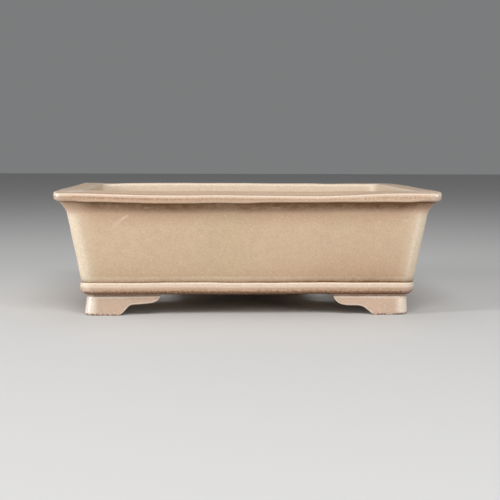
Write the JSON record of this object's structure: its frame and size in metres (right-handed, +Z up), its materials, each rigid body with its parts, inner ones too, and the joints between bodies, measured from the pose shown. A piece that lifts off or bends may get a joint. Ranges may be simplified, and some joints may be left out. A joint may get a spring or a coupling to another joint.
{
  "type": "bonsai pot",
  "caption": "Rectangular unglazed stoneware bonsai pot with flared walls, an outward bar lip over a cove, a rounded base band, drain holes and bracket feet at its corners.",
  "frame": {"origin": "centre of the plane that the four feet stand on, under the middle of the pot", "axes": "+X along the pot's long side, +Y from the front to the back, +Z up out of the mouth"},
  "size_m": [0.36, 0.27, 0.119],
  "materials": {
    "body_clay": "matte",
    "trim_clay": "matte",
    "foot_clay": "matte"
  },
  "bodies": {
    "root": {"floor_slab": "body_clay", "wall_front": "body_clay", "wall_right": "body_clay", "wall_back": "body_clay", "wall_left": "body_clay", "lip_front": "trim_clay", "lip_right": "trim_clay", "lip_back": "trim_clay", "lip_left": "trim_clay", "base_band_front": "trim_clay", "base_band_right": "trim_clay", "base_band_back": "trim_clay", "base_band_left": "trim_clay", "floor_coil_front": "body_clay", "floor_coil_right": "body_clay", "floor_coil_back": "body_clay", "floor_coil_left": "body_clay", "corner_coil_front_left": "body_clay", "corner_coil_front_right": "body_clay", "corner_coil_back_right": "body_clay", "corner_coil_back_left": "body_clay", "foot_front_left_long_side": "foot_clay", "foot_front_left_short_side": "foot_clay", "foot_front_right_long_side": "foot_clay", "foot_front_right_short_side": "foot_clay", "foot_back_right_long_side": "foot_clay", "foot_back_right_short_side": "foot_clay", "foot_back_left_long_side": "foot_clay", "foot_back_left_short_side": "foot_clay"}
  },
  "joints": []
}
